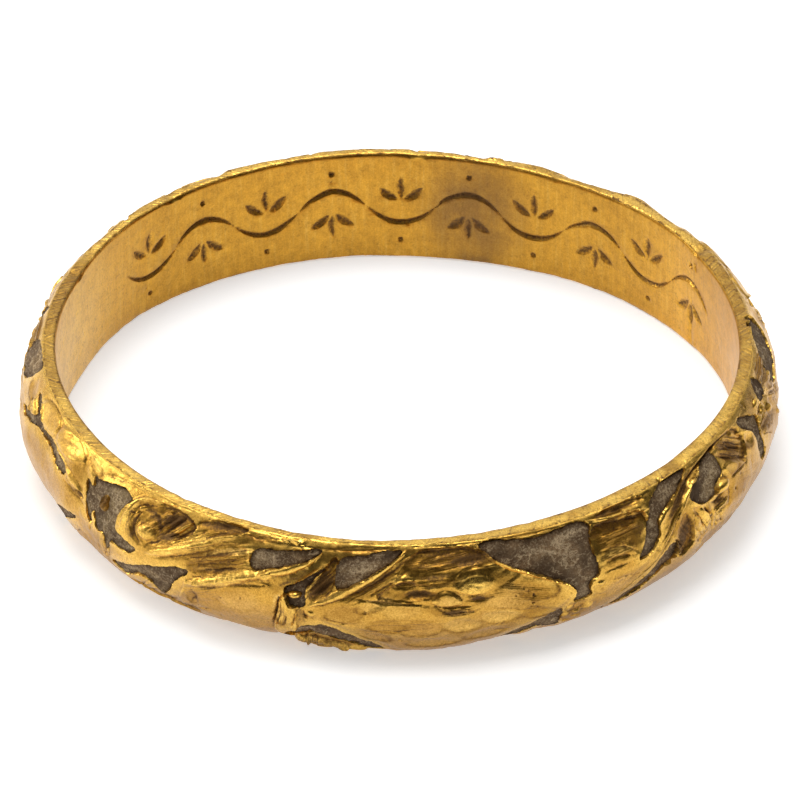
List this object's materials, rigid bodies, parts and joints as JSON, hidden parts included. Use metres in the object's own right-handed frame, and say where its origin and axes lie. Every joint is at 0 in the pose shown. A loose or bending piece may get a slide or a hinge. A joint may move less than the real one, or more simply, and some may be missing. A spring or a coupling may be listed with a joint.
{
  "type": "finger ring",
  "caption": "Gold finger ring of D section, carved all round with leaves in relief, with remains of grey enamel in cells between them.",
  "frame": {"origin": "on the axis of the finger hole, in the plane of the lower rim that the ring rests on", "axes": "+Z is the axis of the finger hole and points up from the rim that it rests on; +X is the right of the ring and +Y its far side as seen from the broad leaf at the front, which is at -Y"},
  "size_m": [0.02, 0.02, 0.0032],
  "materials": {
    "gold": "hand-carved high-carat gold, worn bright on the high places, with brown grime in the cuts",
    "enamel": "decayed enamel, matt, rough and speckled grey brown"
  },
  "bodies": {
    "root": {"band": "gold", "enamel": "enamel"}
  },
  "joints": []
}
